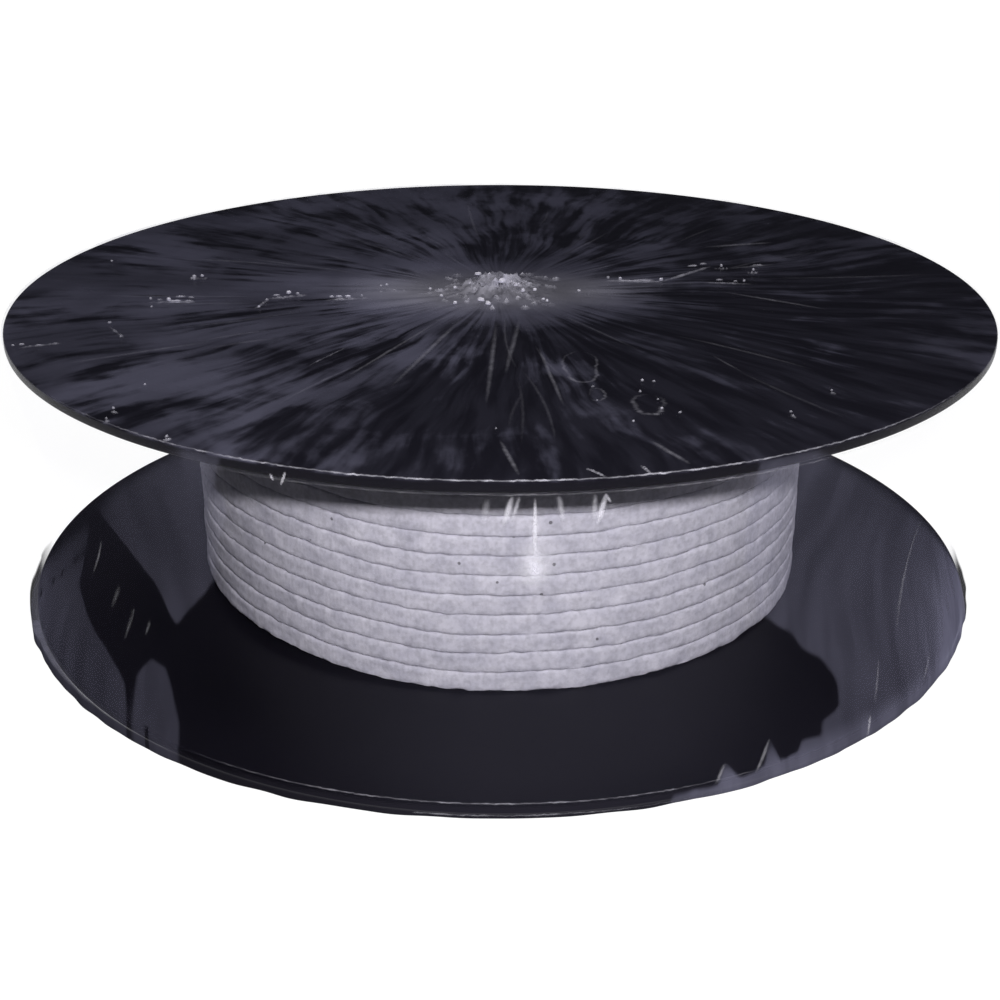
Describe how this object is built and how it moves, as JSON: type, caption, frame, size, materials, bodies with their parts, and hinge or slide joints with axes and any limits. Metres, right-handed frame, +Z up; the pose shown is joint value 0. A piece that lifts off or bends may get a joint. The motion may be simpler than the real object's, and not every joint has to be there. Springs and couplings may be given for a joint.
{
  "type": "spool of gland packing",
  "caption": "Flat spool of square braided packing cord wound in neat turns between two thin black discs, wrapped in clear film gathered at the middle of each face.",
  "frame": {"origin": "middle of the underside, on the spool's axis, where the film rests on the ground", "axes": "+Z up along the spool's axis, -Y towards the side that the picture shows as the front, +X to its right"},
  "size_m": [0.254, 0.2546, 0.0816],
  "materials": {
    "black_plastic": "smooth black moulded plastic",
    "white_braid": "white square braided packing, slightly fuzzy",
    "grey_card": "plain wound board",
    "clear_film": "clear glossy shrink film"
  },
  "bodies": {
    "root": {"lower_flange": "black_plastic", "upper_flange": "black_plastic", "core_tube": "grey_card", "packing_winding": "white_braid", "film_wrap": "clear_film"}
  },
  "joints": []
}
